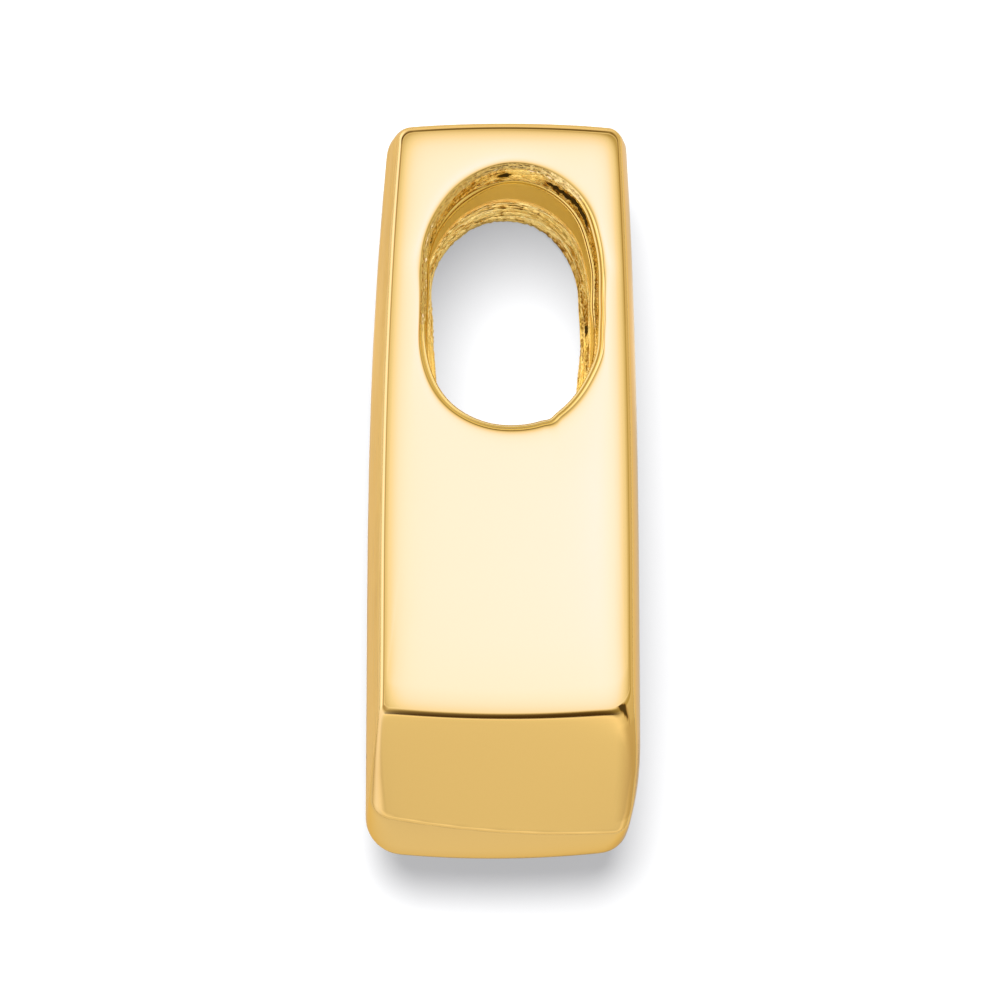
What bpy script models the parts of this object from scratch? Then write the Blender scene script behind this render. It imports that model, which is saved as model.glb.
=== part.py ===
"""Slide pendant: one hollow gold body with a wide chain passage through its two side panels.

The pendant lies on one side panel. +X points from its domed front to its back, +Y to its top,
and +Z up through the chain passage to the other side panel. The part is symmetrical about the
plane half way between the panels. The origin is at the middle of its footprint.
All lengths below are in millimetres, and to_metres() makes them metres at the end.
"""
from math import cos, pi, radians, sin

import bmesh
import bpy

MM = 0.001

# Driving dimensions
HEIGHT = 20.2            # top to bottom of the pendant, along Y
DEPTH = 7.4              # front to back at the widest, along X
WIDTH = 5.5              # between the outer faces of the two side panels, along Z
SIDE_BULGE = 0.45        # how far front and back swell past the edge of a panel
TOP_BULGE = 0.6          # the same at the top
PANEL_BOTTOM = -6.5      # where a side panel ends and the lower bevel starts
FRONT_TAPER = 0.5        # the front draws in this much towards the top
BACK_TAPER = 0.3         # and the back this much
TAPER_START = -3.5       # height at which the taper starts
TAPER_POWER = 2.4
BACK_TUCK = 0.62         # the back draws in by this much at the foot
TUCK_START = -6.9        # height at which that starts
TUCK_POWER = 2.2
TOP_BOW = 0.11           # the top edge is this much higher in the middle than at its ends
BOTTOM_BOW = 0.12        # the same for the bottom edge, downwards

# Hollow inside
PANEL_WALL = 1.3         # thickness of each side panel
SHELL_WALL = 0.60        # thickness of front, back and top
HOLLOW_BOTTOM = -7.6
HOLLOW_TOP = 3.1         # the foot is hollow up to here, and above it the passage has a plain wall
HOLLOW_BLEND = 0.5       # half the height over which one becomes the other
PASSAGE_WALL = {"centre_x": 0.21, "half_width": 2.44, "half_height": 3.70}

# Chain passage: round-ended, and a little smaller in the lower panel
HOLE_MIDDLE = 4.8        # height of the passage's middle
RIM_EASE = 0.1           # the outer edge of each hole is eased by this much
UPPER_HOLE = {"centre_x": 0.21, "half_width": 2.40, "half_height": 3.63}
LOWER_HOLE = {"centre_x": 0.27, "half_width": 2.15, "half_height": 3.50}

# Sections of the outside from a side panel to the widest line, half way between the panels.
# up: height above the middle plane. bulge: share of the swell at front, back and top.
# bottom: lowest point. r_top and r_bottom: radii of the upper and the lower corners.
SECTIONS = [
    {"up": 2.75, "bulge": 0.00, "bottom": PANEL_BOTTOM, "r_top": 0.25, "r_bottom": 0.20},
    {"up": 2.68, "bulge": 0.17, "bottom": -6.72, "r_top": 0.32, "r_bottom": 0.20},
    {"up": 2.50, "bulge": 0.34, "bottom": -7.06, "r_top": 0.40, "r_bottom": 0.22},
    {"up": 2.10, "bulge": 0.56, "bottom": -7.82, "r_top": 0.48, "r_bottom": 0.26},
    {"up": 1.70, "bulge": 0.73, "bottom": -8.58, "r_top": 0.56, "r_bottom": 0.34},
    {"up": 1.25, "bulge": 0.86, "bottom": -9.43, "r_top": 0.64, "r_bottom": 0.52},
    {"up": 0.80, "bulge": 0.94, "bottom": -9.83, "r_top": 0.72, "r_bottom": 0.75},
    {"up": 0.00, "bulge": 1.00, "bottom": -HEIGHT / 2, "r_top": 0.80, "r_bottom": 0.95},
]

# Points along each stretch of an outline
TOP_POINTS = 11
SIDE_POINTS = 15
BOTTOM_POINTS = 11
CORNER_POINTS = 5


def side_x(y, bulge, inset, side):
    """Distance from the middle to the front or the back at height y.

    The width is constant up to TAPER_START and then draws in by the taper times a power of the
    height, and swells by its share of SIDE_BULGE. The back also draws in at the foot.
    """
    taper = FRONT_TAPER if side == "front" else BACK_TAPER
    share = max(0.0, (y - TAPER_START) / (HEIGHT / 2 - TAPER_START))
    full = DEPTH / 2 - SIDE_BULGE * (1 - bulge)
    if side == "back":
        fall = max(0.0, (TUCK_START - y) / (HEIGHT / 2 + TUCK_START))
        full -= BACK_TUCK * fall ** TUCK_POWER
    return full - taper * share ** TAPER_POWER - inset


def corner(centre, radius, start):
    """Points of a quarter circle from the angle start, turning clockwise."""
    turns = [start - pi / 2 * i / (CORNER_POINTS - 1) for i in range(CORNER_POINTS)]
    return [(centre[0] + radius * cos(a), centre[1] + radius * sin(a)) for a in turns]


def bowed_edge(start, end, y, bow, count):
    """Points of a parabola from start to end in X, bow higher than y in its middle."""
    steps = [(i + 1) / (count + 1) for i in range(count)]
    return [(start + (end - start) * s, y + bow * 4 * s * (1 - s)) for s in steps]


def tapered_side(side, start, end, shape):
    """Points of the front or the back, from the height start to end."""
    sign = 1 if side == "back" else -1
    steps = [(i + 1) / (SIDE_POINTS + 1) for i in range(SIDE_POINTS)]
    heights = [start + (end - start) * s for s in steps]
    return [(sign * side_x(y, *shape, side), y) for y in heights]


def outline(bulge, bottom, r_top, r_bottom, inset=0.0):
    """One section of the body: a tapered quadrilateral with bowed ends and round corners.

    It runs clockwise from the left end of the top edge, and inset draws it in on three sides.
    """
    shape = (bulge, inset)
    shoulder = HEIGHT / 2 - TOP_BULGE * (1 - bulge) - inset - TOP_BOW
    heel = bottom + BOTTOM_BOW
    upper = shoulder - r_top
    lower = heel + r_bottom
    upper_left = r_top - side_x(upper, *shape, "front")
    upper_right = side_x(upper, *shape, "back") - r_top
    lower_left = r_bottom - side_x(lower, *shape, "front")
    lower_right = side_x(lower, *shape, "back") - r_bottom
    points = bowed_edge(upper_left, upper_right, shoulder, TOP_BOW, TOP_POINTS)
    points += corner((upper_right, upper), r_top, pi / 2)
    points += tapered_side("back", upper, lower, shape)
    points += corner((lower_right, lower), r_bottom, 0)
    points += bowed_edge(lower_right, lower_left, heel, -BOTTOM_BOW, BOTTOM_POINTS)
    points += corner((lower_left, lower), r_bottom, -pi / 2)
    points += tapered_side("front", lower, upper, shape)
    points += corner((upper_left, upper), r_top, pi)
    return points


def hole(shape, grow=0.0):
    """The round-ended hole, with one point for each point of an outline.

    The stretches of the outline share out the turn round the hole: its top and bottom edges
    face the two round ends, and its sides the straight ones.
    """
    radius = shape["half_width"] + grow
    straight = shape["half_height"] - shape["half_width"]
    stretches = [
        (TOP_POINTS, 125, 60),
        (CORNER_POINTS, 55, 40),
        (SIDE_POINTS, 35, -35),
        (CORNER_POINTS, -40, -55),
        (BOTTOM_POINTS, -60, -120),
        (CORNER_POINTS, -125, -140),
        (SIDE_POINTS, -145, -215),
        (CORNER_POINTS, -220, -232),
    ]
    points = []
    for count, first, last in stretches:
        for i in range(count):
            turn = radians(first + (last - first) * i / (count - 1))
            shift = straight if sin(turn) > 0 else -straight
            points.append(
                (
                    shape["centre_x"] + radius * cos(turn),
                    HOLE_MIDDLE + shift + radius * sin(turn),
                )
            )
    return points


def cavity(bulge):
    """The wall between the panels: plain round the passage, and the shell's inner face in the
    hollow foot. The height of each point of the passage decides which."""
    shell = outline(bulge, HOLLOW_BOTTOM, 0.3, 0.3, SHELL_WALL)
    points = []
    for (x, y), (shell_x, shell_y) in zip(hole(PASSAGE_WALL), shell):
        share = (HOLLOW_TOP + HOLLOW_BLEND - y) / (2 * HOLLOW_BLEND)
        share = min(1.0, max(0.0, share))
        points.append((x + (shell_x - x) * share, y + (shell_y - y) * share))
    return points


def rings():
    """All sections of the body in order, as (points, height) pairs.

    They run from the upper hole out over the upper panel, down the outside, in over the lower
    panel to its hole, and back up through the hollow.
    """
    middle = WIDTH / 2
    made = [
        (hole(UPPER_HOLE), WIDTH - PANEL_WALL),
        (hole(UPPER_HOLE), WIDTH - RIM_EASE),
        (hole(UPPER_HOLE, RIM_EASE), WIDTH),
    ]
    for row in SECTIONS:
        made.append((section(row), middle + row["up"]))
    for row in reversed(SECTIONS[:-1]):
        made.append((section(row), middle - row["up"]))
    made += [
        (hole(LOWER_HOLE, RIM_EASE), 0.0),
        (hole(LOWER_HOLE), RIM_EASE),
        (hole(LOWER_HOLE), PANEL_WALL),
    ]
    for height, bulge in ((PANEL_WALL, 0.65), (middle, 1.0), (WIDTH - PANEL_WALL, 0.65)):
        made.append((cavity(bulge), height))
    return made


def section(row):
    """The outline of one row of SECTIONS."""
    return outline(row["bulge"], row["bottom"], row["r_top"], row["r_bottom"])


def to_metres(points, height):
    """Points of one section as 3-D places in metres."""
    return [(x * MM, y * MM, height * MM) for x, y in points]


def gold():
    """Polished yellow gold."""
    material = bpy.data.materials.new("yellow_gold")
    material.use_nodes = True
    shader = material.node_tree.nodes["Principled BSDF"]
    shader.inputs["Base Color"].default_value = (0.88, 0.62, 0.24, 1.0)
    shader.inputs["Metallic"].default_value = 1.0
    shader.inputs["Roughness"].default_value = 0.12
    return material


def slide_body():
    """The whole body: neighbouring sections are joined by a band of faces, and the last
    section is joined to the first, which closes the wall round the passage."""
    mesh = bpy.data.meshes.new("slide_body")
    shape = bmesh.new()
    loops = [[shape.verts.new(place) for place in to_metres(*ring)] for ring in rings()]
    for loop, following in zip(loops, loops[1:] + loops[:1]):
        for i in range(len(loop)):
            shape.faces.new((loop[i], loop[i - 1], following[i - 1], following[i]))
    bmesh.ops.triangulate(shape, faces=shape.faces[:], quad_method="SHORT_EDGE")
    bmesh.ops.recalc_face_normals(shape, faces=shape.faces[:])
    shape.to_mesh(mesh)
    shape.free()
    mesh.shade_smooth()
    mesh.set_sharp_from_angle(angle=radians(28))
    mesh.materials.append(gold())
    body = bpy.data.objects.new("slide_body", mesh)
    bpy.context.scene.collection.objects.link(body)
    return body


for old in list(bpy.data.objects):
    bpy.data.objects.remove(old)
slide_body()
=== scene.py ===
# %% [markdown]
# # A slide pendant in polished and satin gold
#
# A slide is a pendant without a bail: the chain runs straight through it, in at one side panel
# and out at the other. This one is cast hollow from yellow gold. It lies on one side panel, so
# the other panel, polished like a mirror, faces up with the chain passage in it.
#
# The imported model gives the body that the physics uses. This lesson loads it, makes a finer
# surface in the same place, and dresses it in gold.

# %% Load the frame
from math import cos, pi, radians, sin

import bpy
import numpy as np
from mathutils import Matrix, Vector


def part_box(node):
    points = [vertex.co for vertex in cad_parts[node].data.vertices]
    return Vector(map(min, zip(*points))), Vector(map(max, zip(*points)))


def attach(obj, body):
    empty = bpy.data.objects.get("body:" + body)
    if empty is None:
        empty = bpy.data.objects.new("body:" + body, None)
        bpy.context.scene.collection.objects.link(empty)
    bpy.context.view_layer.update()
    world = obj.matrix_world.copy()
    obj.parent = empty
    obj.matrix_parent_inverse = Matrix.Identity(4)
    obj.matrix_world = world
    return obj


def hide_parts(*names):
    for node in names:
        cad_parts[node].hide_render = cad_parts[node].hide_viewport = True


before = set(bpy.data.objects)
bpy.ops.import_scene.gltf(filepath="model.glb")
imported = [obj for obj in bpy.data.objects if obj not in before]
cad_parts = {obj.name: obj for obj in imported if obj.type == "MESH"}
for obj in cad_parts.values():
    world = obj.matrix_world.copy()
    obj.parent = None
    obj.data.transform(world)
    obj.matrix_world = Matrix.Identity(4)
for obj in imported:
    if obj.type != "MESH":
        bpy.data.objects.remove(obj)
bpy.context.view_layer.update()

MM = 0.001
low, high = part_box("slide_body")
DEPTH, HEIGHT, WIDTH = ((b - a) / MM for a, b in zip(low, high))
MIDDLE = WIDTH / 2
print(f"body {DEPTH:.2f} x {HEIGHT:.2f} x {WIDTH:.2f} mm")

# %% [markdown]
# ## The camera
#
# The photograph looks down on the upper panel from just below the pendant's lower end, and a
# touch from its front. A picture of something this small is taken from close by, so the camera
# stands 11 cm away and its lens is set by how many pixels a millimetre covers.

# %% Camera
CAMERA_DISTANCE = 110.0      # millimetres
CAMERA_BELOW = radians(10.8)  # from straight above towards the lower end
CAMERA_ASIDE = radians(2.5)   # and towards the front
PIXELS_PER_MM = 36.5
PICTURE = 1000               # pixels along one side
SENSOR = 36.0
AIM = Vector((-0.075, -0.245, MIDDLE))

towards_camera = Vector((
    -sin(CAMERA_ASIDE) * cos(CAMERA_BELOW),
    -sin(CAMERA_BELOW),
    cos(CAMERA_ASIDE) * cos(CAMERA_BELOW),
))
camera_data = bpy.data.cameras.new("camera")
camera_data.sensor_width = SENSOR
camera_data.lens = PIXELS_PER_MM * CAMERA_DISTANCE / PICTURE * SENSOR
camera_data.clip_start = 0.001
camera = bpy.data.objects.new("camera", camera_data)
camera.location = (AIM + towards_camera * CAMERA_DISTANCE) * MM
right = Vector((0, 1, 0)).cross(towards_camera).normalized()
turned = Matrix((right, towards_camera.cross(right), towards_camera)).transposed()
camera.rotation_euler = turned.to_euler()
bpy.context.scene.collection.objects.link(camera)
bpy.context.scene.camera = camera
print(f"lens {camera_data.lens:.1f} mm")

# %% [markdown]
# ## The outline of the body
#
# Cut the pendant parallel to its panels and every slice is the same kind of shape: a tapered
# quadrilateral with bowed ends and round corners. The slices could be sculpted one by one, but
# a function of the depth below the panel gives them all, and keeps the solid's own sizes.

# %% Sizes of the body
SIDE_BULGE = 0.45
TOP_BULGE = 0.60
PANEL_BOTTOM = -6.49
FRONT_TAPER = 0.50
BACK_TAPER = 0.30
TAPER_START = -3.5
TAPER_POWER = 2.4
BACK_TUCK = 0.62              # the back draws in again by this much at the foot
TUCK_START = -6.9
TOP_BOW = 0.11
TOP_TILT = 0.025              # the top edge is this much higher at the back, lower at the front
BOTTOM_BOW = 0.14
EDGE_RADIUS = 0.20            # of the roll from a panel into the sides
EDGE_TURN = radians(78)       # slope where that roll ends
BEVEL_RADIUS = 0.55
BEVEL_TURN = radians(26.2)    # slope of the lower bevel against the panel, where it starts
BEVEL_END = (1.42, 1.61)      # depth at which the end facet takes over, front and back
PANEL_WALL = 1.3
SHELL_WALL = 0.60
HOLLOW_BOTTOM = -7.6

# The buff has rounded each side of a panel: slope at the very edge, and how far in it reaches
BUFF = {
    "top": (radians(10.0), 0.30),
    "back": (radians(13.5), 0.33),
    "foot": (radians(5.8), 0.45),
    "front": (radians(8.5), 0.28),
}

# %% [markdown]
# Going down from a panel, a side first rolls over and then bulges slowly. The foot has a small
# roll, a flat bevel and the end facet. Two helpers stand for the shapes that come back all the
# time: a hump, and a ramp from 0 to 1.

# %% Profile of the sides
def hump(value, centre, width):
    """A bell curve of a value, 1 at its centre: the exponential of minus a square."""
    return np.exp(-(((value - centre) / width) ** 2))


def ramp(value, start, length):
    """0 up to start, 1 from start + length on, and a straight line between."""
    return np.clip((value - start) / length, 0, 1)


def swell(depth, side):
    """Share of the bulge that a slice has at this depth below its panel.

    First a roll of EDGE_RADIUS, from the slope that the buff left to EDGE_TURN, then a shallow
    parabola that is full at the middle plane. The reach of a roll is r (sin turn - sin start).
    """
    start = BUFF[side][0]
    roll_depth = EDGE_RADIUS * (cos(start) - cos(EDGE_TURN))
    roll_share = EDGE_RADIUS * (sin(EDGE_TURN) - sin(start)) / SIDE_BULGE
    if depth < roll_depth:
        turned = np.arccos(cos(start) - depth / EDGE_RADIUS)
        return EDGE_RADIUS * (np.sin(turned) - sin(start)) / SIDE_BULGE
    rest = (depth - roll_depth) / (MIDDLE - roll_depth)
    return roll_share + (1 - roll_share) * (1 - (1 - rest) ** 2)


def heel_height(depth, bevel_end):
    """Lowest points of a slice: a small roll, the flat bevel, then the end facet.

    The bevel drops by 1 / tan of its slope for each millimetre of depth, and gets a little
    steeper just below the roll. bevel_end is an array of the depths at which it ends.
    """
    start = BUFF["foot"][0]
    roll_depth = BEVEL_RADIUS * (cos(start) - cos(BEVEL_TURN))
    if depth < roll_depth:
        turned = np.arccos(cos(start) - depth / BEVEL_RADIUS)
        return PANEL_BOTTOM - BEVEL_RADIUS * (np.sin(turned) - sin(start)) + 0 * bevel_end
    top = PANEL_BOTTOM - BEVEL_RADIUS * (sin(BEVEL_TURN) - sin(start))
    past = np.minimum(depth, bevel_end) - roll_depth
    first, later = 1 / np.tan(BEVEL_TURN), 1 / np.tan(BEVEL_TURN + radians(1.6))
    flat = top - past * later - (first - later) * 0.06 * (1 - np.exp(-past / 0.06))
    rest = np.clip((depth - bevel_end) / (MIDDLE - bevel_end), 0, 1)
    lowest = HEIGHT / 2 + np.interp(bevel_end, BEVEL_END, (0.02, -0.04))
    return flat - (flat + lowest) * (1 - (1 - rest) ** 1.3)


def side_reach(y, share, inset, side):
    """Distance from the middle to the front or back: constant half way down, then drawn in by
    the taper times a power of the height. The back also tucks in at the foot."""
    taper = FRONT_TAPER if side == "front" else BACK_TAPER
    rise = np.clip((y - TAPER_START) / (HEIGHT / 2 - TAPER_START), 0, None)
    reach = DEPTH / 2 - SIDE_BULGE * (1 - share) - taper * rise ** TAPER_POWER - inset
    if side == "back":
        fall = np.clip((TUCK_START - y) / (HEIGHT / 2 + TUCK_START), 0, None)
        reach = reach - BACK_TUCK * fall ** 2.2
    return reach


def lean(y, share, side):
    """The angle by which a side leans inwards at height y, positive where it narrows upwards."""
    below, above = (side_reach(y + step, share, 0, side) for step in (-0.02, 0.02))
    return np.arctan((below - above) / 0.04)


print(f"bulge 0.1 mm below the panel: {swell(0.1, 'front'):.0%}")

# %% Points round an outline
# Points along each stretch of it
ACROSS = 70
ALONG = 118
ROUND = 20


def quarter(centre, radius, start, first, last):
    """A quarter circle, clockwise from the angle start, shortened at both ends so that it
    carries on in the direction of its neighbours."""
    turn = start - np.linspace(first, pi / 2 - last, ROUND)
    return np.c_[centre[0] + radius * np.cos(turn), centre[1] + radius * np.sin(turn)]


def by_side(top, back, foot, front):
    """One value for each point of an outline, blended evenly round the corners."""
    return np.concatenate([
        np.full(ACROSS, top), np.linspace(top, back, ROUND),
        np.full(ALONG, back), np.linspace(back, foot, ROUND),
        np.full(ACROSS, foot), np.linspace(foot, front, ROUND),
        np.full(ALONG, front), np.linspace(front, top, ROUND),
    ])


POINTS = len(by_side(0, 0, 0, 0))
print(f"{POINTS} points round each slice")


# %% One slice of the body
def outline(shares, heels, r_top, r_low, inset=0.0):
    """One slice as an array of points, clockwise from the left end of its top edge.

    Ends are parabolas, sides follow side_reach and corners are quarter circles. shares is for
    the front, the back and the top, and r_low for the front and the back. heels is an array
    from the back to the front.
    """
    across = (np.arange(ACROSS) + 1) / (ACROSS + 1)
    along = (np.arange(ALONG) + 1) / (ALONG + 1)
    bow = 4 * across * (1 - across)
    tilt = TOP_TILT * (2 * across - 1)
    shoulder = HEIGHT / 2 - TOP_BULGE * (1 - shares[2]) - TOP_BOW
    up_left, up_right = shoulder - TOP_TILT - r_top, shoulder + TOP_TILT - r_top
    low_front, low_back = heels[-1] + BOTTOM_BOW + r_low[0], heels[0] + BOTTOM_BOW + r_low[1]

    def front(y):
        return -side_reach(y, shares[0], inset, "front")

    def back(y):
        return side_reach(y, shares[1], inset, "back")

    lean_left, lean_right = lean(up_left, shares[0], "front"), lean(up_right, shares[1], "back")
    tuck = -lean(low_back, shares[1], "back")
    left = front(up_left) + r_top / cos(lean_left)
    right = back(up_right) - r_top / cos(lean_right)
    low_left = front(low_front) + r_low[0]
    low_right = back(low_back) - r_low[1] / cos(tuck)
    slope, low_slope = 4 * TOP_BOW / (right - left), 4 * BOTTOM_BOW / (low_right - low_left)
    back_ends = [up_right + r_top * sin(lean_right), low_back - r_low[1] * sin(tuck)]
    front_ends = [low_front, up_left + r_top * sin(lean_left)]
    top_ends = [left - r_top * slope, right + r_top * slope]
    low_ends = [low_right + r_low[1] * low_slope, low_left - r_low[0] * low_slope]
    down, climb = np.interp(along, [0, 1], back_ends), np.interp(along, [0, 1], front_ends)
    top_x, low_x = np.interp(across, [0, 1], top_ends), np.interp(across, [0, 1], low_ends)
    return np.vstack([
        np.c_[top_x, shoulder + TOP_BOW * bow + tilt],
        quarter((right, up_right), r_top, pi / 2, slope, lean_right),
        np.c_[back(down), down],
        quarter((low_right, low_back), r_low[1], 0, tuck, low_slope),
        np.c_[low_x, heels[1:-1] + BOTTOM_BOW * (1 - bow)],
        quarter((low_left, low_front), r_low[0], -pi / 2, low_slope, 0),
        np.c_[front(climb), climb],
        quarter((left, up_left), r_top, pi, lean_left, slope),
    ])


def slice_at(depth):
    """The outside of the body at a depth below either panel."""
    r_top = np.interp(depth, [0, 0.2, MIDDLE], [0.27, 0.42, 0.80])
    r_front = 0.14 + 0.86 * sin(pi / 2 * depth / MIDDLE) ** 2
    late = max(0.0, (depth - 1.1) / (MIDDLE - 1.1))
    r_back = 0.34 + 0.30 * hump(depth, 0, 0.35) + 0.50 * late**2 * (3 - 2 * late)
    shares = [swell(depth, side) for side in ("front", "back", "top")]
    across = np.linspace(0, 1, ACROSS + 2)
    ends = BEVEL_END[1] + (BEVEL_END[0] - BEVEL_END[1]) * across + 0.08 * across * (1 - across)
    heels = heel_height(depth, ends)
    return outline(shares, heels, r_top, (r_front, r_back))


panel_size = np.ptp(slice_at(0.0), axis=0)
print(f"panel {panel_size[0]:.2f} x {panel_size[1]:.2f} mm")

# %% [markdown]
# ## The chain passage
#
# The passage is a slot with round ends, sawn and filed by hand through both panels, so its
# wall is rougher than the rest and the metal stands up in a burr where the file left it. A
# boolean cut would give a clean wall. Here the wall is a grid of its own, round the slot and
# down through the panel, and every point of it can be pushed in or out.

# %% Slot shape and hand-made waves
HOLE_MIDDLE = 4.8
# Reach: from the slot's middle to its wall, every ten degrees anticlockwise from the back
UPPER_HOLE = {
    "centre": 0.20,
    "reach": [
        2.26, 2.30, 2.40, 2.55, 2.75, 3.02, 3.26, 3.44, 3.56, 3.60, 3.54, 3.41,
        3.24, 3.04, 2.85, 2.68, 2.53, 2.41, 2.37, 2.42, 2.55, 2.74, 2.96, 3.19,
        3.37, 3.47, 3.51, 3.50, 3.46, 3.34, 3.14, 2.93, 2.75, 2.57, 2.39, 2.30,
    ],
    "kink": 0.05,
}
LOWER_HOLE = {
    "centre": 0.25,
    "reach": [
        2.06, 2.08, 2.16, 2.32, 2.57, 2.82, 3.09, 3.33, 3.48, 3.51, 3.49, 3.38,
        3.22, 3.01, 2.76, 2.48, 2.26, 2.13, 2.09, 2.10, 2.17, 2.31, 2.53, 2.80,
        3.08, 3.32, 3.46, 3.50, 3.48, 3.35, 3.12, 2.84, 2.52, 2.28, 2.16, 2.09,
    ],
    "kink": 0.0,
}
STRETCHES = [
    # points, first and last angle
    (ACROSS, 125, 60), (ROUND, 59.1, 40), (ALONG, 39.3, -39.3), (ROUND, -40, -59.1),
    (ACROSS, -60, -120), (ROUND, -121, -140), (ALONG, -140.7, -219.3), (ROUND, -220, -234),
]
TURN = np.radians(np.concatenate([np.linspace(a, b, n) for n, a, b in STRETCHES]))


def bell(centre, width, turn=TURN):
    """A bell curve of the angle round the slot, 1 at its centre."""
    return hump((np.degrees(turn) - centre + 180) % 360 - 180, 0, width)


def slot_edge(shape, turn):
    """The slot's wall at an array of angles: the table of reach, made smooth by its Fourier
    series, and a small kink where the saw was turned."""
    reach = np.array(shape["reach"])
    parts = np.fft.rfft(reach)[:-1] / len(reach)
    parts[1:] *= 2
    series = parts * np.exp(1j * np.outer(turn, np.arange(len(parts))))
    radius = series.real.sum(1) + shape["kink"] * bell(286, 2.5, turn)
    return np.c_[shape["centre"] + radius * np.cos(turn), HOLE_MIDDLE + radius * np.sin(turn)]


def slot_ring(shape, grow=0.0):
    """The slot as an array of points, moved out along its normal by grow, which may be an
    array with one value for each point."""
    ahead = slot_edge(shape, TURN + 0.004) - slot_edge(shape, TURN - 0.004)
    normal = np.c_[ahead[:, 1], -ahead[:, 0]] / np.linalg.norm(ahead, axis=1)[:, None]
    return slot_edge(shape, TURN) + normal * np.broadcast_to(grow, POINTS)[:, None]


def waves(around, down, seed, turns, steps, count=28):
    """A seamless rough surface: the sum of cosine waves of random direction and phase.

    around is an angle, so whole numbers of waves close round the slot.
    """
    rng = np.random.default_rng(seed)
    across = rng.integers(-turns, turns + 1, count)
    along = rng.uniform(-steps, steps, count)
    phase = rng.uniform(0, 2 * pi, count)
    total = np.cos(np.multiply.outer(around, across) + np.multiply.outer(down, along) + phase)
    return total.sum(-1) / np.sqrt(count)


slot_size = np.ptp(slot_edge(UPPER_HOLE, TURN), axis=0)
print(f"upper slot {slot_size[0]:.2f} x {slot_size[1]:.2f} mm")

# %% [markdown]
# ## The body as one closed surface
#
# Picture a sheet of gold that starts at the upper slot, runs out over the panel, rolls down the
# outside, comes in under the lower panel and climbs back through the hollow: it is a closed
# tube, so a grid of rings round the slot covers the whole body with no seam or pole. Each ring
# is one row of the grid, and rows crowd together wherever the metal turns.

# %% How far the buff has lowered a panel
def edge_sag(flat):
    """How far the buff has lowered a panel at each point of an array.

    Each side takes off slope times reach, and that fades as an exponential of the distance.
    """
    x, y = flat.T
    bend = np.clip(x / (DEPTH / 2 - SIDE_BULGE), -1, 1) ** 2
    top_line = HEIGHT / 2 - TOP_BULGE - TOP_BOW * bend
    gaps = {
        "top": top_line - y,
        "back": side_reach(y, 0, 0, "back") - x,
        "foot": y - PANEL_BOTTOM - BOTTOM_BOW * bend,
        "front": x + side_reach(y, 0, 0, "front"),
    }
    parts = [np.tan(s) * reach * np.exp(-gaps[side] / reach) for side, (s, reach) in BUFF.items()]
    return sum(parts)


def rim_sag(gap):
    """The same beside a slot, from the distance to its rim: a steep part and a faint one."""
    return 0.25 * 0.09 * np.exp(-gap / 0.09) + 0.05 * 0.30 * np.exp(-gap / 0.30)


print(f"lowered by {edge_sag(slice_at(0.0)).max():.3f} mm at its edge")

# %% [markdown]
# Every row also gives a value at each of its points for grime and painted light. Above 0 it
# darkens the gold, for grime and for painted shade, and below 0 it makes it paler, for wear and
# for painted highlights.

# %% Rim of a slot
# The rim as (out from the wall, down from the panel): a raised bead, then a shallow groove
RIM = [
    (0.000, 0.125), (0.003, 0.088), (0.010, 0.058), (0.021, 0.043), (0.034, 0.035),
    (0.050, 0.032), (0.066, 0.035), (0.080, 0.045), (0.092, 0.057), (0.106, 0.061),
    (0.122, 0.056), (0.136, 0.048),
]
RIM_WIDTH = 0.150


def to_ring(flat, z, grime_and_painted_light=0.0):
    """Adds the height to an array of flat points, and their value of grime and painted light."""
    return np.c_[flat, np.broadcast_to(z, POINTS), np.broadcast_to(grime_and_painted_light, POINTS)]


# Where the upper left of a rim was left as the file cut it: 1 there, 0 elsewhere
ROUGH_RIM = ramp(bell(128, 84), 0.4, 0.2)


def rim_rings(shape, top, sign):
    """The rim of a slot, from its wall up to the panel, with painted shade in the groove and next
    to the wall and a painted highlight on the bead. Where it is rough the bead is worn down to a
    plain ramp, and its tone varies at random."""
    made = []
    for out, down in RIM:
        rough = waves(TURN, out * 4, 71, 150, 30)
        uneven = 0.012 * ROUGH_RIM * rough * min(1.0, (RIM_WIDTH - out) / 0.04)
        worn = 0.125 - 0.57 * out + 0.4 * uneven
        flat = slot_ring(shape, out + uneven)
        # Painted shade in the groove and next to the wall, and a painted highlight on the bead's
        # crest
        grime_and_painted_light = hump(out, 0.098, 0.016) * (0.5 + 0.3 * bell(50, 25))
        grime_and_painted_light += hump(out, 0.003, 0.012) * 0.5
        grime_and_painted_light -= hump(out, 0.045, 0.020) * 0.3
        grime_and_painted_light = grime_and_painted_light * (1 - ROUGH_RIM) + ROUGH_RIM * np.clip(0.10 + 0.25 * rough, 0, 0.5)
        depth = down + (worn - down) * ROUGH_RIM
        made.append(to_ring(flat, top - sign * (edge_sag(flat) + depth), grime_and_painted_light))
    return made


print(f"{len(RIM)} rows in a rim, {ROUGH_RIM.mean():.0%} of it rough")


# %% Rows of a panel and of the outside
# Distances of a panel's rows from its edges, and the even shares of the way in between
NEAR_OFFSETS = [0.015, 0.035, 0.06, 0.09, 0.13, 0.18, 0.25, 0.35, 0.50, 0.75]
FAR_OFFSETS = [0.03, 0.08, 0.16, 0.30, 0.50]
EVEN_SHARES = (0.2, 0.4, 0.6, 0.8)


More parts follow.
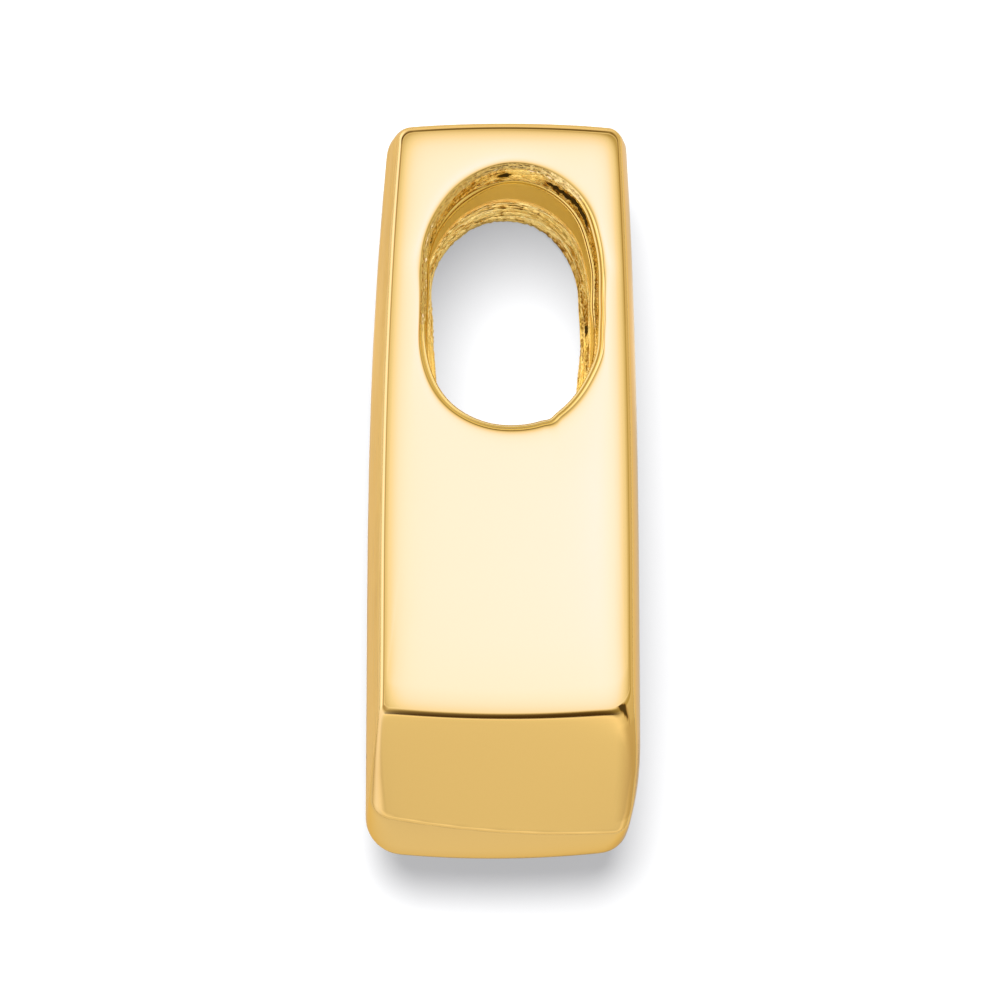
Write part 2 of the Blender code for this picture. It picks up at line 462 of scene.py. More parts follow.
def panel_rings(shape, top, sign, offsets):
    """A panel between its slot and its edge, flat but for the sag near both.

    Rows stand at fixed distances from both edges, and even shares in between.
    """
    inner = slot_ring(shape, RIM_WIDTH)
    outer = slice_at(0.0)
    gap = np.linalg.norm(outer - inner, axis=1)
    shrink = gap / (gap + 2 * max(offsets))
    spots = [offset * shrink / gap for offset in offsets]
    middle = [spots[-1] + (1 - 2 * spots[-1]) * t for t in EVEN_SHARES]
    zero = np.zeros(POINTS)
    shares = [zero] + spots + middle + [1 - spot for spot in reversed(spots)] + [zero + 1]
    made = []
    for share in shares:
        flat = inner + (outer - inner) * share[:, None]
        made.append(to_ring(flat, top - sign * (edge_sag(flat) + rim_sag(share * gap))))
    return made


def outside_depths():
    """Depths below a panel at which a slice is taken, close together in the rolls."""
    roll = EDGE_RADIUS * (1 - np.cos(np.linspace(radians(12), EDGE_TURN, 14)))
    slope = np.array([0.20, 0.26, 0.33, 0.42, 0.60, 0.86, BEVEL_END[0] - 0.08])
    crease = np.linspace(BEVEL_END[0] - 0.02, BEVEL_END[1] + 0.04, 8)
    facet = np.linspace(BEVEL_END[1] + 0.14, MIDDLE - 0.1, 7)
    return np.concatenate([[0.001, 0.0025], roll, slope, crease, facet])


print(f"{len(outside_depths())} rows from a panel to the widest line")

# %% Places and sizes of the marks outside
AROUND = np.linspace(0, 2 * pi, POINTS, endpoint=False)
OUTWARD = slice_at(MIDDLE) - slice_at(0.0)
OUTWARD /= np.linalg.norm(OUTWARD, axis=1)[:, None]
# Corners of a small notch at the lower back corner of a panel, painted as a dark patch of shade;
# the surface has no notch
NOTCH = [(2.853, -6.229), (3.133, -6.227), (3.253, -6.659)]
# Height of the ridges that filing and buffing leave along each side
ROUGHNESS = by_side(0.0015, 0.004, 0.0015, 0.009)
FRONT, FOOT = by_side(0, 0, 0, 1), by_side(0, 0, 1, 0)
# How dark the painted shade line along the panel's edge is: strong round the two top corners,
# fading down the back
CORNERS = by_side(1, 0, 0, 0) * (1 - by_side(1, 0, 0, 0)) * 4
CORNERS[-ROUND:] = 0.8
CORNERS[ACROSS + ROUND:ACROSS + ROUND + 40] = np.linspace(0.8, 0.2, 40)
CORNERS[ACROSS + 4:ACROSS + ROUND] = 0.8
print(f"{int((CORNERS > 0).sum())} points in the dark line round the top corners")


# %% Grime and painted light on the outside
def wedge(x, y):
    """1 inside the small three-sided notch, from the distances to its sides."""
    inside = 1.0
    for (ax, ay), (bx, by) in zip(NOTCH, NOTCH[1:] + NOTCH[:1]):
        length = np.hypot(bx - ax, by - ay)
        inner = ((bx - ax) * (y - ay) - (by - ay) * (x - ax)) / length
        inside = inside * np.clip(0.5 - inner / 0.04, 0, 1)
    return inside


def side_grime_and_light(depth, flat, sign):
    """Grime and painted light at each point of a slice. The front has faint streaks of grime, is
    darker towards its middle, and has a dark mark painted for a nick in its upper half, with no
    dent in the surface. A thin line of painted shade runs where the roll begins, darkest round the
    top corners. The foot has a painted dark line and a painted highlight at its lowest, and
    painted shade towards the back. The notch and the lower front corner, painted dark as shade,
    come on top."""
    x, y = flat.T
    long = waves(AROUND, depth, 51, 7, 6) + 0.3 * waves(AROUND, depth, 52, 60, 5)
    streaks = np.clip(0.06 * long, 0, 0.12) * ramp(depth, 0.1, 0.1)
    darker_middle = 0.12 * ramp(depth, 1.6, 1.0)
    # A dark mark painted for a nick, as its shade; the surface has no dent there
    nick = hump(y, -7.35, 0.07) + 0.4 * hump(y, -7.8, 0.35)
    nick = nick * hump(depth, 2.55, 0.12) * (sign > 0)
    # Painted shade: a thin dark line where the roll from the panel begins, standing in for a dark
    # reflection
    turned = np.degrees(np.arccos(1 - min(depth, EDGE_RADIUS) / EDGE_RADIUS))
    roll_line = hump(turned, 15, 6)
    edge = roll_line * (0.30 + 0.35 * ramp(y, 3, 5))
    front = streaks + darker_middle + nick + edge
    # Painted shade in a thin dark line near the foot's lowest, and a painted highlight from there
    # to the middle plane
    lowest = 0.5 * hump(depth, 2.58, 0.05) - 0.6 * (depth > 2.66)
    # Painted shade on the bevel towards the back
    shade = 0.45 * ramp(x, 2.95, 0.5) * (0.25 < depth < 1.45)
    # Painted shade at the lower front corner
    low_corner = FRONT * FOOT * (y < -6.3) * ramp(-depth, -1.6, 0.5)
    # The notch: a patch of painted shade, with no notch in the surface
    notch = wedge(x, y) * (0.004 < depth < 0.5)
    marks = low_corner + CORNERS * roll_line * 0.75 + notch
    return np.clip(FRONT * front + FOOT * (lowest + shade) + marks, -1, 1)


print(f"notch {wedge(*NOTCH[0]):.2f} dark at its first corner")


# %% All rings outside
def side_ring(depth, drop, sign, seed):
    """A slice of the outside with the long shallow ridges that filing leaves along it."""
    grown = min(1.0, depth / 0.12)
    ridges = waves(AROUND, depth, seed, 5, 14) + 0.4 * waves(AROUND, depth, seed + 1, 40, 10)
    flat = slice_at(depth) + OUTWARD * (ROUGHNESS * grown * (ridges - 2.2))[:, None]
    fall = drop + depth * (1 - drop / MIDDLE)
    return to_ring(flat, WIDTH - fall if sign > 0 else fall, side_grime_and_light(depth, flat, sign))


def body_rings():
    """All rings in order, from the upper slot round to the lower one."""
    depths = outside_depths()
    near = panel_rings(UPPER_HOLE, WIDTH, 1, NEAR_OFFSETS)
    far = panel_rings(LOWER_HOLE, 0.0, -1, FAR_OFFSETS)
    rows = rim_rings(UPPER_HOLE, WIDTH, 1) + near
    rows += [side_ring(d, WIDTH - near[-1][:, 2], 1, 5) for d in depths]
    rows += [side_ring(MIDDLE, 0.0, 1, 5)]
    rows += [side_ring(d, far[-1][:, 2], -1, 5) for d in depths[::-1]]
    rows += far[::-1] + rim_rings(LOWER_HOLE, 0.0, -1)[::-1]
    return rows


outside = body_rings()
print(f"{len(outside)} rings outside")

# %% [markdown]
# Inside, the upper wall ends in a burr, and the lower one in a rounded lip. Neither edge is
# level, because a hand held the file.

# %% Filed walls
# How far the wall between the panels stands back, and the heights where the filed walls end
RECESS = 0.03 + 0.08 * bell(90, 55)
UPPER_END = WIDTH - PANEL_WALL + 0.04 * waves(TURN, 0.0, 31, 7, 1)
LOWER_END = 1.55 - 0.9 * bell(165, 34) + 0.05 * waves(TURN, 0.0, 32, 9, 1)


def spot(z, angle, height, turn_width, depth_width):
    """A patch of the wall, 1 in its middle, at an angle round the slot and a height."""
    return bell(angle, turn_width) * hump(z, height, depth_width)


def cut_rings(first, last, start, end, seed, grain, grooves, rows, spots):
    """The filed wall of a slot, as rows between two flat rings and two heights.

    Grain is rough both ways, and grooves run along the wall. The colour follows them: paler in the
    grooves and darker where the wall stands out, painted highlight and painted shade.
    """
    made = []
    for share in np.linspace(0, 1, rows):
        z = start + (end - start) * share
        coarse = waves(TURN, share * 1.3, seed, 150, 40)
        long = waves(TURN, share * 1.3, seed + 1, 7, 34) * (1 + 0.5 * bell(25, 35))
        fade = np.clip(abs(z - start) / 0.10, 0, 1) * np.clip(abs(end - z) / 0.06, 0, 1)
        flat = first + (last - first) * share
        outward = flat - [0.2, HOLE_MIDDLE]
        outward /= np.linalg.norm(outward, axis=1)[:, None]
        fade = fade * (1 - 0.9 * np.clip(bell(200, 50) + bell(285, 45), 0, 1))
        flat = flat + outward * (fade * (grain * coarse + grooves * long))[:, None]
        # Painted highlight where the wall is cut back and painted shade where it stands out
        worn = -0.55 * long - 0.45 * coarse
        grime_and_painted_light = np.clip(worn - 0.2, 0, 0.7) + np.clip(worn + 0.15, -0.8, 0)
        grime_and_painted_light = grime_and_painted_light * fade
        # Spots of painted shade and painted highlight on top
        for *place, strength in spots:
            grime_and_painted_light = grime_and_painted_light + (strength - grime_and_painted_light) * spot(z, *place)
        made.append(to_ring(flat, z, grime_and_painted_light))
    return made


print(f"upper wall ends {UPPER_END.min():.2f} to {UPPER_END.max():.2f} mm up")


# %% Burr, lip and hollow
def ridge_rings():
    """The burr at the inner edge of the upper wall: two narrow shelves that face up, with painted
    shade between them, and an undercut painted dark as its shadow. Each row gives how far in it
    stands, how far down, and how dark it is painted, below 0 where it is paler."""
    profile = [
        (0.000, 0.010, 0.6), (0.004, 0.030, 0.6), (0.014, 0.040, 0.3), (0.034, 0.044, -0.2),
        (0.064, 0.050, -0.2), (0.072, 0.080, 0.6), (0.075, 0.130, 0.65), (0.082, 0.150, 0.3),
        (0.100, 0.156, 0.0), (0.118, 0.165, 0.0), (0.124, 0.200, 0.8), (0.100, 0.235, 1.0),
        (0.040, 0.260, 1.0),
    ]
    sway = 0.8 + 0.35 * waves(TURN, 0.0, 41, 9, 1)
    return [
        to_ring(slot_ring(UPPER_HOLE, 0.03 - reach * sway), UPPER_END - down, grime_and_painted_light)
        for reach, down, grime_and_painted_light in profile
    ]


def lip_rings():
    """The rounded edge at the top of the lower wall, as (in, up, and how dark it is), which is
    below 0 for a painted highlight on the round.
    """
    profile = [(0.000, 0.10, 0.0), (0.004, 0.085, 0.0), (0.011, 0.067, -0.1), (0.021, 0.05, -0.3),
               (0.034, 0.035, -0.6), (0.046, 0.02, -0.5), (0.054, -0.01, -0.1)]
    sway = 0.9 + 0.3 * waves(TURN, 0.0, 43, 9, 1)
    return [
        to_ring(slot_ring(UPPER_HOLE, RECESS - reach * sway), LOWER_END + up, grime_and_painted_light)
        for reach, up, grime_and_painted_light in profile
    ]


def hollow_rings():
    """From the ridge to the lower wall. Above the slot's lower end this is a plain wall, and
    below that it opens into the hollow of the foot."""
    core_ring = slot_ring(UPPER_HOLE, RECESS)
    heels = np.full(ACROSS + 2, HOLLOW_BOTTOM)
    shell_ring = outline((1, 1, 1), heels, 2.3, (0.3, 0.3), SHELL_WALL)
    top, bottom = UPPER_END - 0.28, LOWER_END + 0.12
    opening = (0.5 - 0.5 * np.tanh((np.sin(TURN) + 0.62) / 0.10))[:, None]
    # share of the way down in the wall, share of the way out and down in the hollow
    path = [(0.0, 0.0, 0.0), (0.1, 0.5, 0.0), (0.2, 0.95, 0.02), (0.35, 1.0, 0.15),
            (0.5, 1.0, 0.5), (0.65, 1.0, 0.85), (0.8, 0.95, 0.98), (0.9, 0.5, 1.0)]
    made = []
    for down, out, hollow_down in path:
        wall = to_ring(core_ring, top + (bottom - top) * down)
        wide = core_ring + (shell_ring - core_ring) * out
        hollow = to_ring(wide, top + (bottom - top) * hollow_down)
        made.append(wall + (hollow - wall) * opening)
    return made


ridge, lip = ridge_rings(), lip_rings()
print(f"{len(ridge)} rows in the burr and {len(lip)} in the lip")

# %% The whole grid
rim_top, rim_low = outside[0][:, 2], outside[-1][:, 2]
upper_wall, lower_wall = slot_ring(UPPER_HOLE), slot_ring(LOWER_HOLE)
# Spots of painted shade and painted highlight: angle, height, half width round the slot in
# degrees, half height, and how dark it is painted, below 0 for a pale spot, which may be above 1
# to keep the middle of a spot fully dark
upper_spots = [
    (78, 5.2, 16.0, 0.25, -0.5), (36, 5.0, 5.0, 0.15, -0.9), (215, 4.9, 14.0, 0.30, -0.9),
    (94, 4.80, 3.0, 0.24, 1.8), (71, 4.74, 4.5, 0.20, 1.7), (64, 4.88, 4.5, 0.20, 1.8),
    (57, 5.02, 4.5, 0.18, 1.8), (50, 5.14, 4.0, 0.15, 1.7), (143, 5.05, 3.0, 0.18, 1.2),
]
lower_spots = [
    (2, 1.32, 3.5, 0.16, 1.8), (60, 0.9, 16.0, 0.06, 0.5), (35, 0.5, 14.0, 0.06, 0.7),
    (10, 0.7, 12.0, 0.07, 0.8), (22, 1.1, 16.0, 0.05, -0.9), (30, 0.8, 16.0, 0.05, -0.8),
    (152, 0.5, 8.0, 0.35, -0.9), (215, 0.8, 12.0, 0.30, -0.9), (90, 0.02, 80.0, 0.07, 0.6),
]
upper_cut = cut_rings(
    upper_wall, slot_ring(UPPER_HOLE, 0.03), rim_top, UPPER_END, 11, 0.020, 0.030, 24, upper_spots
)
lower_cut = cut_rings(
    lower_wall, slot_ring(UPPER_HOLE, RECESS - 0.055), rim_low, LOWER_END - 0.03, 23, 0.012, 0.040,
    26, lower_spots,
)
inside = lower_cut[1:] + lip[::-1] + hollow_rings()[::-1] + ridge[::-1] + upper_cut[:0:-1]
grid = np.array(outside + inside)
grime_and_painted_light = grid[..., 3]
grid = grid[..., :3] * MM
print(f"grid of {grid.shape[0]} by {grid.shape[1]} points")

# %% Mesh from the grid
POLISHED, SATIN, FILED, CAST, RIM_FINISH = 0, 1, 2, 3, 4


def closed_mesh(name, points):
    """A mesh whose faces join neighbouring points of a grid that closes both ways."""
    rows, columns = points.shape[:2]
    index = np.arange(rows * columns).reshape(rows, columns)
    right = np.roll(index, -1, axis=1)
    below = np.roll(index, -1, axis=0)
    corner_points = np.roll(below, -1, axis=1)
    faces = np.stack([index, right, corner_points, below], axis=-1).reshape(-1, 4)
    mesh = bpy.data.meshes.new(name)
    mesh.from_pydata(points.reshape(-1, 3), [], faces)
    mesh.shade_smooth()
    return mesh


body_mesh = closed_mesh("slide_gold", grid)
# The value of grime and of painted shade and highlight goes to the shader
dirt_and_shadow = body_mesh.attributes.new("grime_and_painted_light", "FLOAT", "POINT")
dirt_and_shadow.data.foreach_set("value", grime_and_painted_light.ravel().astype(np.float32))
slide_gold = bpy.data.objects.new("slide_gold", body_mesh)
bpy.context.scene.collection.objects.link(slide_gold)
print(f"{len(body_mesh.polygons) * 2} triangles")

# %% [markdown]
# ## Gold
#
# Gold has no colour of its own but what it gives to the light that it mirrors. So the finishes
# have nearly one colour, deeper where light bounces more than once, and differ mostly in how
# rough the surface is. The value of grime and painted light at each point browns it, or covers
# it where there is much, for grime and painted shade, and makes it paler for wear and painted
# highlights.

# %% Shader maths
class Wire:
    """A socket of a shader node that can be used in sums and products."""

    def __init__(self, tree, socket):
        self.tree = tree
        self.socket = socket

    def maths(self, operation, *values):
        return self.tree.node("ShaderNodeMath", {"operation": operation}, *values)

    def __add__(self, other):
        return self.maths("ADD", self, other)

    __radd__ = __add__

    def __sub__(self, other):
        return self.maths("SUBTRACT", self, other)

    def __rsub__(self, other):
        return self.maths("SUBTRACT", other, self)

    def __mul__(self, other):
        return self.maths("MULTIPLY", self, other)

    __rmul__ = __mul__

    def between(self, low, high):
        """0 below low, 1 above high, and a smooth step in between."""
        settings = {"interpolation_type": "SMOOTHSTEP"}
        return self.tree.node("ShaderNodeMapRange", settings, self, low, high, 0.0, 1.0)


# %% Node trees
class Tree:
    """A node tree and the one method that adds to it."""

    def __init__(self, nodes):
        self.nodes = nodes.nodes
        self.links = nodes.links

    def node(self, kind, settings, *inputs, output=0, values=None, **named):
        """Adds a node: its settings first, then the values or links of its sockets."""
        made = self.nodes.new(kind)
        stops = settings.pop("stops", None)
        for key, value in settings.items():
            setattr(made, key, value)
        if stops:
            ramp = made.color_ramp.elements
            while len(ramp) < len(stops):
                ramp.new(1.0)
            for element, (position, colour) in zip(ramp, stops):
                element.position = position
                element.color = (*colour, 1.0)
        for key, value in [*enumerate(inputs), *named.items(), *(values or {}).items()]:
            socket = made.inputs[key]
            if isinstance(value, Wire):
                self.links.new(value.socket, socket)
            else:
                socket.default_value = value
        return Wire(self, made.outputs[output])

    def mix(self, factor, first, second):
        """Blends two colours."""
        settings = {"data_type": "RGBA"}
        values = {"Factor": factor, 6: first, 7: second}
        return self.node("ShaderNodeMix", settings, values=values, output=2)

    def plug(self, wire, socket):
        self.links.new(wire.socket, socket)


# %% Colours, and the metal that the finishes share
GOLD = (1.0, 0.71, 0.27, 1.0)
DEEP_GOLD = (1.0, 0.75, 0.28, 1.0)  # where light bounces more than once
CAST_GOLD = (0.72, 0.50, 0.15, 1.0)
# Paler gold for wear and for painted highlights
PALE_GOLD = (1.0, 0.86, 0.46, 1.0)
SATIN_GOLD = (1.0, 0.76, 0.36, 1.0)
RIM_GOLD = (1.0, 0.72, 0.18, 1.0)
EDGE_TINT = (1.0, 0.80, 0.45, 1.0)
FILED_TINT = (1.0, 0.72, 0.28, 1.0)
DARK_GOLD = (0.42, 0.20, 0.03, 1.0)  # tarnished, and painted shade
# Near black, for thick grime and for painted shadow and dark reflections
GRIME_AND_SHADOW = (0.06, 0.032, 0.006, 1.0)


def gold_material(name, colour, tint, roughness):
    """A metal of gold's colour, paler where the value is below 0, for wear and painted highlights,
    browner where it is a little above 0 and covered in near black where it is more, for grime and
    painted shade, and its tree, for what each finish adds. The tint is for light that grazes the
    surface."""
    material = bpy.data.materials.new(name)
    material.use_nodes = True
    shader = material.node_tree.nodes["Principled BSDF"]
    shader.inputs["Metallic"].default_value = 1.0
    shader.inputs["Roughness"].default_value = roughness
    shader.inputs["Specular Tint"].default_value = tint
    tree = Tree(material.node_tree)
    grime_and_light = tree.node("ShaderNodeAttribute", {"attribute_name": "grime_and_painted_light"}, output="Fac")
    # Paler where the value is below 0: wear and painted highlights
    worn = tree.mix(0.0 - grime_and_light, colour, PALE_GOLD)
    # Browner where it is above 0: tarnish and painted shade
    tree.plug(tree.mix(grime_and_light * 1.3, worn, DARK_GOLD), shader.inputs["Base Color"])
    # Covered in near black where it is high: thick grime and painted shadow
    looks = {"Base Color": GRIME_AND_SHADOW, "Roughness": 0.9, "Specular IOR Level": 0.0}
    dirt_and_shadow = tree.node("ShaderNodeBsdfPrincipled", {}, values=looks)
    gold = Wire(tree, shader.outputs["BSDF"])
    both = tree.node("ShaderNodeMixShader", {}, grime_and_light.between(0.4, 1.0), gold, dirt_and_shadow)
    tree.plug(both, material.node_tree.nodes["Material Output"].inputs["Surface"])
    return material, shader, tree


# %% The five finishes
def polished():
    material, shader, tree = gold_material("polished_gold", GOLD, EDGE_TINT, 0.07)
    place = tree.node("ShaderNodeTexCoord", {}, output="Object")
    haze = tree.node("ShaderNodeTexNoise", {}, Vector=place, Scale=900.0, Detail=3.0)
    tree.plug(0.05 + haze * 0.05, shader.inputs["Roughness"])
    return material


def satin():
    material, shader, tree = gold_material("satin_gold", SATIN_GOLD, EDGE_TINT, 0.30)
    place = tree.node("ShaderNodeTexCoord", {}, output="Object")
    drawn = tree.node("ShaderNodeMapping", {}, place, Scale=(9000.0, 600.0, 9000.0))
    grain = tree.node("ShaderNodeTexNoise", {}, Vector=drawn, Scale=1.0, Detail=4.0)
    long = tree.node("ShaderNodeMapping", {}, place, Scale=(2500.0, 700.0, 5500.0))
    streaks = tree.node("ShaderNodeTexNoise", {}, Vector=long, Scale=1.0, Detail=2.0)
    relief = grain * 0.6 + streaks * 2.6
    bump = tree.node("ShaderNodeBump", {}, Strength=1.0, Distance=0.00002, Height=relief)
    tree.plug(0.24 + grain * 0.16, shader.inputs["Roughness"])
    tree.plug(bump, shader.inputs["Normal"])
    return material


def filed():
    material, shader, tree = gold_material("filed_gold", DEEP_GOLD, FILED_TINT, 0.2)
    place = tree.node("ShaderNodeTexCoord", {}, output="Object")
    grain = tree.node("ShaderNodeTexNoise", {}, Vector=place, Scale=7000.0, Detail=3.0)
    layers = tree.node("ShaderNodeMapping", {}, place, Scale=(900.0, 900.0, 9000.0))
    streaks = tree.node("ShaderNodeTexNoise", {}, Vector=layers, Scale=1.0, Detail=3.0)
    relief = grain * 0.9 + streaks * 3.0
    bump = tree.node("ShaderNodeBump", {}, Strength=0.8, Distance=0.00003, Height=relief)
    tree.plug(0.12 + grain * 0.2, shader.inputs["Roughness"])
    tree.plug(bump, shader.inputs["Normal"])
    return material


def cast_skin():
    material, shader, tree = gold_material("cast_gold", CAST_GOLD, FILED_TINT, 0.5)
    place = tree.node("ShaderNodeTexCoord", {}, output="Object")
    grain = tree.node("ShaderNodeTexNoise", {}, Vector=place, Scale=16000.0, Detail=2.0)
    bump = tree.node("ShaderNodeBump", {}, Strength=0.7, Distance=0.00002, Height=grain)
    tree.plug(bump, shader.inputs["Normal"])
    return material


def worn_rim():
    return gold_material("rim_gold", RIM_GOLD, FILED_TINT, 0.12)[0]


for make in (polished, satin, filed, cast_skin, worn_rim):
    body_mesh.materials.append(make())
print([material.name for material in body_mesh.materials])

# %% [markdown]
# ## Where each finish lies
#
# The satin covers the domed front only, between the two polished rolls. The file's marks are
# on the slot walls and the rough part of their rims, and the hollow keeps the skin of the
# casting. Everything else is polished. The grid's rows and columns say which face is which.

# %% Finish for each face
SATIN_ROW = 10               # rows from a panel's edge to where the satin starts
SATIN_BELOW, SATIN_ABOVE = 2, 5  # points by which it reaches past the ends of the front
ring_number = np.repeat(np.arange(grid.shape[0]), POINTS)
column = np.tile(np.arange(POINTS), len(grid))
is_outside = ring_number < len(outside)
first_side = len(RIM) + 2 * len(NEAR_OFFSETS) + len(EVEN_SHARES) + 2
last_side = first_side + 2 * len(outside_depths())
past_rolls = (ring_number >= first_side + SATIN_ROW) & (ring_number < last_side - SATIN_ROW)
first_front = 2 * ACROSS + ALONG + 3 * ROUND
last_front = first_front + ALONG
on_front = (column >= first_front - SATIN_BELOW) & (column < last_front + SATIN_ABOVE)
finish = np.where(past_rolls & on_front, SATIN, POLISHED)
rough_rim = ROUGH_RIM[column] > 0.5
on_rim = (ring_number < len(RIM)) | ((ring_number >= len(outside) - len(RIM)) & is_outside)
finish = np.where(on_rim, RIM_FINISH, finish)
finish = np.where(on_rim & rough_rim, FILED, finish)
first_hollow = len(outside) + len(lower_cut) - 1
first_cut = len(grid) - len(upper_cut) + 1
finish = np.where((ring_number >= len(outside)) & (ring_number < first_hollow), FILED, finish)
in_hollow = (ring_number >= first_hollow) & (ring_number < first_cut)
first_ridge = first_cut - len(ridge)
finish = np.where(in_hollow, np.where(ring_number < first_ridge, FILED, RIM_FINISH), finish)
between_lips = (ring_number >= first_hollow + len(lip)) & (ring_number < first_ridge)
finish = np.where(in_hollow & between_lips, CAST, finish)
finish = np.where(ring_number >= first_cut, FILED, finish)
body_mesh.polygons.foreach_set("material_index", finish.astype(np.int32))
names = ("polished", "satin", "filed", "cast", "rim")
print({name: int((finish == i).sum()) for i, name in enumerate(names)})

# %% Join the piece to the frame
slide_gold.visible_diffuse = False  # gold throws no coloured light on the paper
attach(slide_gold, "root")
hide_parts("slide_body")

# %% [markdown]
# ## Floor and light
#
# White paper under the pendant, one large soft lamp above its upper end, and a white tent
# round everything. The paper is white to the camera but for a painted shadow round the
# pendant, and greyer in the sides' reflections, as it would be if the sides were shaded from
# the lamp; under the slot the gold mirrors it paler and warm, a painted reflection. Gold shows
# what is round it, so the tent is bright overhead, dark in a ring beside that, and warm further
# down.

# %% Floor
bpy.ops.mesh.primitive_plane_add(size=1.2, location=(0, 0, -0.00003))
floor = bpy.context.object
floor.name = "floor"
paper = bpy.data.materials.new("paper")
paper.use_nodes = True
paper_shader = paper.node_tree.nodes["Principled BSDF"]
paper_shader.inputs["Roughness"].default_value = 0.9
paper_shader.inputs["Specular IOR Level"].default_value = 0.0
paper_tree = Tree(paper.node_tree)
to_camera = paper_tree.node("ShaderNodeLightPath", {}, output="Is Camera Ray")
grey, white = (0.55, 0.51, 0.45, 1.0), (0.92, 0.92, 0.92, 1.0)
# Painted shadow: grey for the paper round the pendant; and paler, warm paper under the slot, a
# painted reflection
painted_shadow_grey, in_slot = (0.84, 0.84, 0.84, 1.0), (1.0, 0.96, 0.85, 1.0)
below_slot = (0.0002, 0.0048, 0.0)
place = paper_tree.node("ShaderNodeTexCoord", {}, output="Object")
from_slot = paper_tree.node(
    "ShaderNodeVectorMath", {"operation": "DISTANCE"}, place, below_slot, output=1
)
# Painted reflection: paler, warm paper under the slot in what the gold mirrors
mirrored_tone = paper_tree.mix(from_slot.between(0.003, 0.0055), in_slot, grey)
from_middle = paper_tree.node(
    "ShaderNodeVectorMath", {"operation": "LENGTH"}, place, output=1
)
# Painted shadow on the paper round the pendant, seen by the camera
seen_tone = paper_tree.mix(from_middle.between(0.006, 0.013), painted_shadow_grey, white)
tone = paper_tree.mix(to_camera, mirrored_tone, seen_tone)
paper_tree.plug(tone, paper_shader.inputs["Base Color"])
# Far from the lamp the paper would look grey, so the camera sees it lifted to the tent's white
black, lift = (0.0, 0.0, 0.0, 1.0), (0.45, 0.45, 0.45, 1.0)
lifted = paper_tree.mix(to_camera * from_middle.between(0.03, 0.28), black, lift)
paper_tree.plug(lifted, paper_shader.inputs["Emission Color"])
paper_shader.inputs["Emission Strength"].default_value = 1.0
floor.data.materials.append(paper)
print(f"floor {floor.dimensions.x:.1f} m wide")

# %% Lamp
LAMP_DISTANCE = 0.20
lamp_data = bpy.data.lights.new("softbox", "AREA")
lamp_data.shape = "DISK"
lamp_data.size = 0.13
lamp_data.energy = 0.42
lamp = bpy.data.objects.new("softbox", lamp_data)
lamp_direction = Vector((-0.10, 0.30, 1.0)).normalized()
lamp.location = lamp_direction * LAMP_DISTANCE
lamp.rotation_euler = lamp_direction.to_track_quat("Z", "Y").to_euler()
lamp.visible_glossy = False
lamp.visible_camera = False
bpy.context.scene.collection.objects.link(lamp)
print(f"softbox {lamp_data.size * 100:.0f} cm wide, {LAMP_DISTANCE * 100:.0f} cm away")

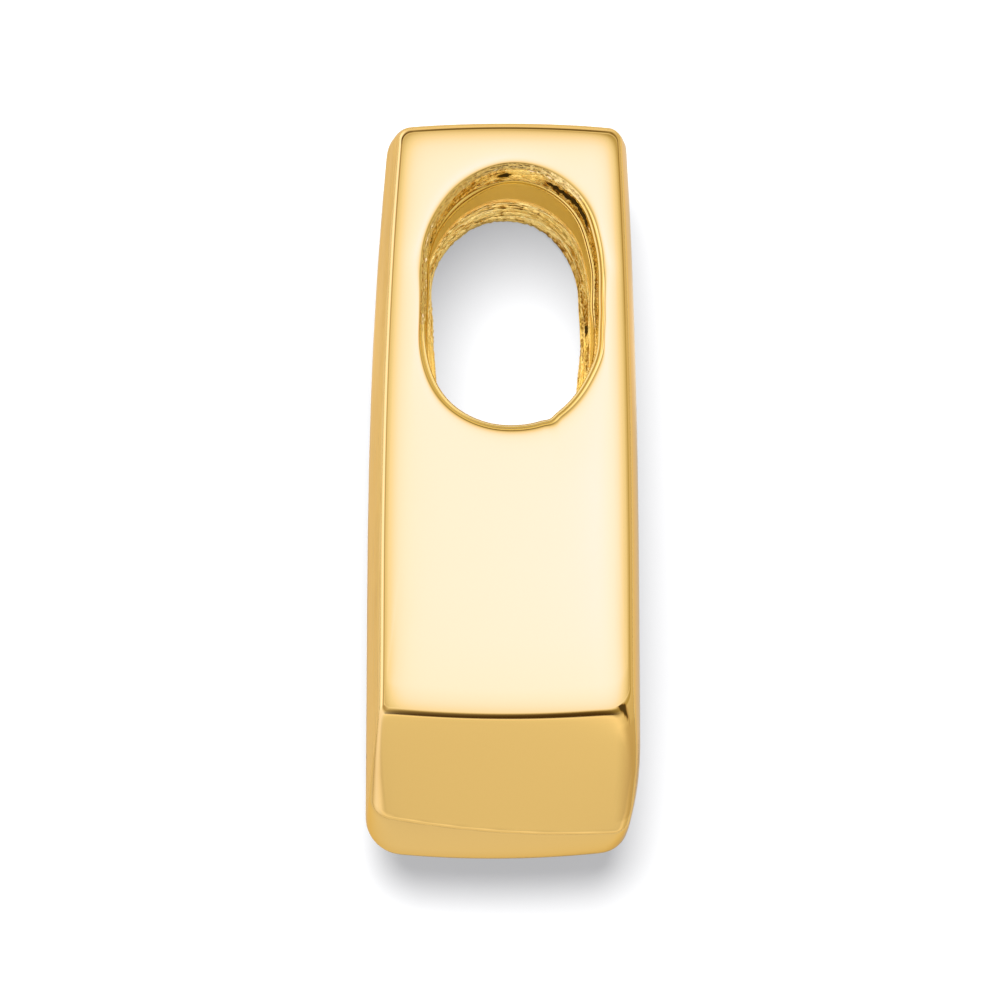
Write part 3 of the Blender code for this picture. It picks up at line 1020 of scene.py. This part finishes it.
# %% Light of the tent
# Each row: degrees from the softbox, and the light that the gold sees there
SOFTBOX_DIRECTION = Vector((0.098, 0.185, 0.977)).normalized()
SIDES = {
    "front": [
        (0, (1.36, 1.30, 2.80)), (3.2, (1.33, 1.27, 2.45)), (7, (1.28, 1.23, 2.15)),
        (11, (1.16, 1.13, 1.75)), (15, (1.0, 1.0, 1.12)), (19, (0.88, 0.85, 0.80)),
        (24, (0.68, 0.62, 0.50)), (34, (0.56, 0.49, 0.34)), (42, (1.00, 0.98, 1.00)),
        (50, (1.30, 1.32, 1.72)), (78, (1.15, 1.15, 1.40)), (98, (0.74, 0.67, 0.56)),
    ],
    "back": [
        (0, (1.36, 1.30, 2.80)), (3, (1.33, 1.28, 2.50)), (7, (1.28, 1.23, 2.20)),
        (11, (1.16, 1.13, 1.80)), (15, (1.0, 1.0, 1.18)), (20, (0.86, 0.82, 0.76)),
        (26, (0.54, 0.46, 0.27)), (36, (0.46, 0.38, 0.16)), (44, (0.70, 0.62, 0.46)),
        (56, (0.66, 0.57, 0.40)), (98, (0.60, 0.52, 0.36)),
    ],
    "top": [
        (0, (1.36, 1.30, 2.80)), (6.5, (1.32, 1.26, 2.42)), (10, (1.24, 1.20, 2.10)),
        (14, (1.10, 1.08, 1.65)), (18, (0.98, 0.96, 1.18)), (22, (0.86, 0.80, 0.76)),
        (25, (0.55, 0.46, 0.28)), (29, (0.16, 0.11, 0.03)), (41, (0.16, 0.11, 0.03)),
        (49, (0.85, 0.77, 0.66)), (70, (0.90, 0.82, 0.72)), (98, (0.74, 0.67, 0.56)),
    ],
    "foot": [
        (0, (1.36, 1.30, 2.80)), (4.5, (1.33, 1.27, 2.45)), (9, (1.26, 1.22, 2.15)),
        (13, (1.12, 1.10, 1.75)), (16, (1.02, 1.00, 1.35)), (20, (0.80, 0.74, 0.66)),
        (23, (0.30, 0.22, 0.07)), (27, (0.07, 0.04, 0.01)), (47, (0.06, 0.035, 0.01)),
        (51.5, (1.10, 1.00, 0.86)), (55.5, (0.80, 0.74, 0.61)), (64, (0.68, 0.62, 0.52)),
        (71, (0.98, 0.90, 0.79)), (79, (0.76, 0.69, 0.58)), (98, (0.76, 0.69, 0.58)),
    ],
}

print({side: len(rows) for side, rows in SIDES.items()})

# %% Tent
world = bpy.data.worlds.new("tent")
bpy.context.scene.world = world
world.use_nodes = True
world.node_tree.nodes.clear()
tent = Tree(world.node_tree)
direction = tent.node("ShaderNodeTexCoord", {}, output="Generated")
facing = tent.node(
    "ShaderNodeVectorMath", {"operation": "DOT_PRODUCT"}, direction, SOFTBOX_DIRECTION, output=1
)
away = facing.maths("ARCCOSINE", facing) * (180 / pi / 100)  # hundreds of degrees
part = tent.node("ShaderNodeSeparateXYZ", {}, direction)
flat_x = part - facing * SOFTBOX_DIRECTION.x
flat_y = Wire(tent, part.socket.node.outputs["Y"]) - facing * SOFTBOX_DIRECTION.y
sideways = flat_x.maths("ABSOLUTE", flat_x) - flat_y.maths("ABSOLUTE", flat_y)


def seen_towards(side):
    """The tent's light in one direction round the softbox, by the angle from it."""
    stops = [(degrees / 100, colour) for degrees, colour in SIDES[side]]
    return tent.node("ShaderNodeValToRGB", {"stops": stops}, away)


across_light = tent.mix(flat_x.between(-0.01, 0.01), seen_towards("front"), seen_towards("back"))
along_light = tent.mix(flat_y.between(-0.01, 0.01), seen_towards("foot"), seen_towards("top"))
mirrored = tent.mix(sideways.between(-0.6, 0.15), along_light, across_light)
is_glossy = tent.node("ShaderNodeLightPath", {}, output="Is Glossy Ray")
is_camera = tent.node("ShaderNodeLightPath", {}, output="Is Camera Ray")
fill = tent.node("ShaderNodeBackground", {}, (0.52, 0.52, 0.53, 1.0), 1.0)
seen = tent.node("ShaderNodeBackground", {}, (0.93, 0.93, 0.94, 1.0), 1.0)
reflected = tent.node("ShaderNodeBackground", {}, mirrored, 1.0)
lit = tent.node("ShaderNodeMixShader", {}, is_glossy, fill, reflected)
whole = tent.node("ShaderNodeMixShader", {}, is_camera, lit, seen)
output = tent.nodes.new("ShaderNodeOutputWorld")
tent.plug(whole, output.inputs["Surface"])
bpy.context.scene.view_settings.view_transform = "Standard"
